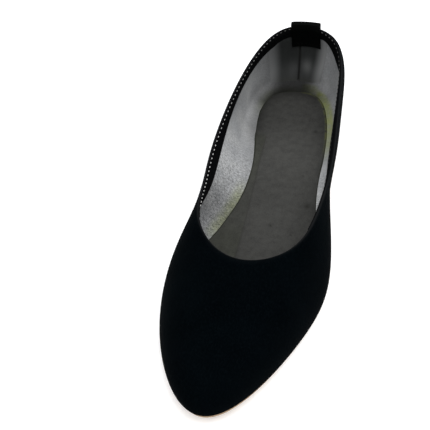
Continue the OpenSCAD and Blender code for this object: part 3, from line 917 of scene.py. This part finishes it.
def loop_stitches():
    """A row across the end of each of the loop's legs."""
    spots = []
    for depth, facing in ((BAND_D + BAND_T + 0.8, -1), (-0.82, 1)):
        for u in np.linspace(-0.31, 0.27, 7):
            pair = np.array([u, u + 0.01])
            t = below_top(pair, LOOP_LEG - 2.2)
            p = skin(pair, t, depth)
            spots.append((p[0], unit(p[1] - p[0]), facing * wall_normal(pair, t)[0]))
    obj = sew("loop_stitches", spots, LOOP_STITCH_LEN, LOOP_STITCH_R)
    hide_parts("loop_stitching")
    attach(obj, "rearfoot")
    thread("black_thread", rgb(0.002, 0.002, 0.002), rgb(0.005, 0.005, 0.005)).on(obj, "dark_thread")


# ---- Sock and sole ----

def chord_grid(inset, s0, s1, rows, across):
    """Grid of plan points from station s0 to s1 and from the inner to the outer edge. None is the outline's end."""
    tip = 0.03
    at_heel, at_toe = s0 is None, s1 is None
    a_in = tip if at_heel else foot_rib(s0, True, inset)
    b_in = TOE - tip if at_toe else foot_rib(s1, True, inset)
    a_out = RIB_COUNT - tip if at_heel else foot_rib(s0, False, inset)
    b_out = TOE + tip if at_toe else foot_rib(s1, False, inset)
    k = np.linspace(0, 1, rows)
    p = foot_outline(mix(a_in, b_in, k), inset)[:, None]
    q = foot_outline(mix(a_out, b_out, k), inset)[:, None]
    j = np.linspace(0, 1, across)[None, :, None]
    j = mix(j, smooth(j), 0.6)
    return mix(p, q, j)


def edge_distance(plan, inset):
    """Distance of each plan point from the outline stepped in by inset."""
    ring = foot_outline(round_ribs(40), inset)
    flat = plan.reshape(-1, 2)
    blocks = np.array_split(flat, math.ceil(len(flat) / 4000))
    best = [np.sqrt(((block[:, None] - ring[None]) ** 2).sum(-1).min(1)) for block in blocks]
    return np.concatenate(best).reshape(plan.shape[:2])


def slab(name, plan, top, bottom, attributes=None):
    """A closed piece between two heights over one grid of plan points."""
    upper_side = np.concatenate([plan, top[..., None]], -1)
    lower_side = np.concatenate([plan, bottom[..., None]], -1)
    n, m = plan.shape[:2]
    verts = np.concatenate([upper_side.reshape(-1, 3), lower_side.reshape(-1, 3)])
    faces = grid_faces(n, m, False, False)
    flipped = faces[:, ::-1] + n * m
    ring = [i * m for i in range(n)] + [(n - 1) * m + j for j in range(1, m)]
    ring += [i * m + m - 1 for i in reversed(range(n - 1))] + [j for j in reversed(range(1, m - 1))]
    sides = [[a, b, b + n * m, a + n * m] for a, b in zip(ring, ring[1:] + ring[:1])]
    both = {k: np.concatenate([v.ravel(), v.ravel()]) for k, v in (attributes or {}).items()}
    return make_object(name, place(verts), faces.tolist() + flipped.tolist() + sides, both)


def sock():
    """Cover of the insole, with a long crease on the inner side and a ledge beyond it."""
    plan = chord_grid(SOCK_INSET, None, SOCK_FRONT, 260, 90)
    edge = edge_distance(plan, SOCK_INSET)
    x, s = plan[..., 0], plan[..., 1]
    soft_edge = 0.7 * (1 - smooth(edge / 0.9))
    wave = 0.1 * np.sin(s / 17 + x / 23) * np.sin(x / 13 + 1.1)
    crease_x = -13 + 0.028 * (s - 60)
    inner_side = smooth((s - 52) / 8)
    ledge = smooth((crease_x - x) / 0.7 + 0.5) * inner_side * np.interp(s, (80, 100, 125, 138), (1, 0.45, 0.5, 1))
    # The crease mask cuts a groove into the top, and the sock's material also paints shade into it.
    crease = np.exp(-((x - crease_x) / 0.5) ** 2) * inner_side
    arch = 0.9 * smooth((crease_x - x) / 9) * inner_side
    top = bed(s) + SOCK_Z + SOCK_T - soft_edge + wave + arch - 0.3 * crease
    bottom = bed(s) + SOCK_Z
    # Painted shadow: a dark line along the sock's edge, wider towards the heel.
    rim = 1 - smooth((edge - 0.1) / mix(1.2, 1.8, smooth((60 - s) / 30)))
    glue = (1 - smooth(edge / 2.4)) * smooth((75 - s) / 25) * smooth((x + 2) / 8)
    # Painted light and shade along the sock's length: darker at the heel, lighter at the waist.
    painted_light_and_shade = np.interp(s, (0, 12, 22, 42, 58, 78, 95, 110, 125), (0.7, 0.72, 0.8, 0.82, 1.03, 1.1, 0.97, 0.92, 1))
    # Painted shade near the heel end and along the inner edge.
    dark_end = 0.35 * (1 - smooth(edge / 10)) * smooth((30 - s) / 14) * smooth((18 - x) / 10)
    dark_side = 0.45 * (1 - smooth(edge / 8)) * smooth((-6 - x) / 8) * smooth((75 - s) / 35)
    spots = np.zeros(s.shape)
    for spot_x, spot_s, size in SOCK_SPOTS:
        spots += np.exp(-((x - spot_x) ** 2 + (s - spot_s) ** 2) / size ** 2)
    obj = slab("sock_cover", plan, top, bottom,
               {"rim": rim, "ledge": ledge, "glue": glue, "crease": crease, "spots": spots,
                "shade": painted_light_and_shade * (1 - np.maximum(dark_end, dark_side))})
    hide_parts("sock")
    bend_at_toe(obj)
    sock_cloth().on(obj, "sock_textile")


def tread(plan, edge):
    """Depth of the outsole's moulded ribs: fine cross ribs inside a plain border, none at the waist."""
    s = plan[..., 1]
    border = smooth(edge - 5)
    zone = smooth((s - 132) / 2) * smooth((232 - s) / 2)
    wavy = s + 1.5 * np.cos(plan[..., 0] / 9)
    groove = smooth((np.cos(2 * math.pi * wavy / TREAD_PITCH) - 0.35) / 0.4)
    return TREAD_DEPTH * groove * border * zone


def outsole():
    plan = chord_grid(SOLE_INSET, None, None, 620, 56)
    edge = edge_distance(plan, SOLE_INSET)
    s = plan[..., 1]
    lean = np.clip(1 - edge / SOLE_BEVEL, 0, 1)
    bevel = SOLE_BEVEL * (1 - np.sqrt(1 - lean ** 2))
    top = bed(s) - 0.08 - 0.35 * bevel
    under = bed(s) - OUTSOLE_T + bevel + tread(plan, edge)
    obj = slab("outsole", plan, top, under)
    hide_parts("outsole_forepart", "outsole_backpart")
    bend_at_toe(obj)
    rubber("tan_outsole", rgb(0.36, 0.25, 0.15), rgb(0.29, 0.195, 0.115)).on(obj, "outsole_rubber")


def heel_ring(inset, z):
    """Closed outline of the heel at one height, with a straight breast."""
    a = foot_rib(np.array(BREAST), True, inset)
    b = foot_rib(np.array(BREAST), False, inset) - RIB_COUNT
    back = foot_outline(np.linspace(b, a, 160), inset)
    breast = mix(back[-1], back[0], np.linspace(0, 1, 42)[1:-1, None])
    ring = np.concatenate([back, breast])
    return np.concatenate([ring, np.full((len(ring), 1), z)], 1)


def heel_stack():
    """The heel's lifts, with a fine groove between one and the next."""
    z0, z1 = TOP_PIECE_H, HEEL_H - 0.1
    rings = []
    for k in range(LIFTS):
        low = mix(z0, z1, k / LIFTS)
        high = mix(z0, z1, (k + 1) / LIFTS)
        for z, pull in ((low + 0.02, 0.16), (low + 0.12, 0.0), (high - 0.12, 0.0), (high - 0.02, 0.16)):
            taper = 0.5 * (z1 - z) / (z1 - z0)
            rings.append(heel_ring(SOLE_INSET + 0.6 + pull + taper, z))
    obj = loft("heel_stack", np.stack(rings), wrap_v=True, cap=True)
    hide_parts("heel_block")
    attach(obj, "rearfoot")
    stacked_board().on(obj, "heel_stack")


def heel_top_piece():
    profile = ((TOP_PIECE_H - 0.08, 0.15), (TOP_PIECE_H - 0.25, 0.0), (0.5, 0.05), (0.15, 0.2), (0.0, 0.6))
    rings = np.stack([heel_ring(SOLE_INSET + 1.1 + pull, z) for z, pull in profile])
    obj = loft("heel_tread_piece", rings, wrap_v=True, cap=True)
    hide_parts("heel_top_piece")
    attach(obj, "rearfoot")
    rubber("dark_top_piece", rgb(0.03, 0.028, 0.026), rgb(0.045, 0.042, 0.038)).on(obj, "top_piece_rubber")


def inner_pieces():
    """Pieces inside the shoe keep their CAD shape and get a material of their own."""
    looks = {
        "insole_board": plain_fibre("fibre_board", rgb(0.42, 0.31, 0.2), rgb(0.32, 0.23, 0.14)),
        "foam": plain_fibre("foam", rgb(0.7, 0.68, 0.58), rgb(0.6, 0.58, 0.5), per_mm=1.5),
        "filler_felt": plain_fibre("felt", rgb(0.3, 0.24, 0.16), rgb(0.22, 0.17, 0.12)),
        "shank_steel": plain_fibre("spring_steel", rgb(0.5, 0.51, 0.52), rgb(0.42, 0.43, 0.44), 0.35, 1.0),
        "stiffener": plain_fibre("stiffener_cloth", rgb(0.52, 0.45, 0.34), rgb(0.42, 0.36, 0.27)),
    }
    slot_of = {p["node"]: p["material_slot"] for p in frame["record"]["subparts"]}
    for node, slot in slot_of.items():
        if slot in looks:
            looks[slot].on(bpy.data.objects[node])


# ---- Floor, light and camera ----

def floor():
    """White ground, a hair below the sole, so that the two never share a plane."""
    half, z = 12.0, -0.1 * MM
    mesh = bpy.data.meshes.new("floor")
    mesh.from_pydata([(-half, -half, z), (half, -half, z), (half, half, z), (-half, half, z)], [], [(0, 1, 2, 3)])
    obj = add_object("floor", mesh)
    Shader("pale_floor", Roughness=0.9, Base_Color=rgb(0.92, 0.92, 0.92),
           Emission_Color=rgb(1, 1, 1), Emission_Strength=0.2).on(obj)


def area_light(name, position, target, size, power):
    data = bpy.data.lights.new(name, "AREA")
    data.shape = "RECTANGLE"
    data.size, data.size_y = size
    data.energy = power
    obj = add_object(name, data)
    obj.location = position
    obj.rotation_euler = (Vector(target) - Vector(position)).to_track_quat("-Z", "Y").to_euler()


def lights():
    """Two soft lamps and an even sky, which looks brighter to the camera than it shines on the shoe."""
    sky_light, sky_seen = 0.55, 0.75
    world = bpy.data.worlds.new("studio")
    bpy.context.scene.world = world
    world.use_nodes = True
    sky = world.node_tree.nodes["Background"]
    sky.inputs["Color"].default_value = rgb(0.95, 0.97, 1.0)
    path = world.node_tree.nodes.new("ShaderNodeLightPath")
    strength = world.node_tree.nodes.new("ShaderNodeMath")
    strength.operation = "MULTIPLY_ADD"
    strength.inputs[1].default_value = sky_seen - sky_light
    strength.inputs[2].default_value = sky_light
    world.node_tree.links.new(path.outputs["Is Camera Ray"], strength.inputs[0])
    world.node_tree.links.new(strength.outputs[0], sky.inputs["Strength"])
    middle = (0, -0.1, 0.02)
    area_light("key", (0.35, -0.25, 1.0), middle, (0.9, 0.9), 13)
    area_light("fill", (-0.6, -0.5, 0.7), middle, (0.8, 0.6), 3)
    bpy.context.scene.view_settings.view_transform = "Standard"


def camera():
    """Main view: round from the toe, down from level, and rolled a little."""
    azimuth, elevation, roll = (math.radians(a) for a in (20.2, 44.6, -7.8))
    distance, lens, sensor = 0.392, 58.76, 36.0
    target = Vector((-0.0283, -0.0978, 0.0112))
    back = Vector((math.sin(azimuth) * math.cos(elevation), -math.cos(azimuth) * math.cos(elevation),
                   math.sin(elevation)))
    right = Vector((math.cos(azimuth), math.sin(azimuth), 0))
    up = back.cross(right)
    image_right = right * math.cos(roll) + up * math.sin(roll)
    image_up = up * math.cos(roll) - right * math.sin(roll)
    data = bpy.data.cameras.new("camera")
    data.lens, data.sensor_width = lens, sensor
    data.clip_start, data.clip_end = 0.01, 20
    obj = add_object("camera", data)
    axes = Matrix((image_right, image_up, back)).transposed().to_4x4()
    obj.matrix_world = Matrix.Translation(target + back * distance) @ axes
    bpy.context.scene.camera = obj


upper()
lining()
topline_tape()
topline_band()
topline_stitches()
heel_grip()
pull_loop()
loop_stitches()
sock()
outsole()
heel_stack()
heel_top_piece()
inner_pieces()
floor()
lights()
camera()
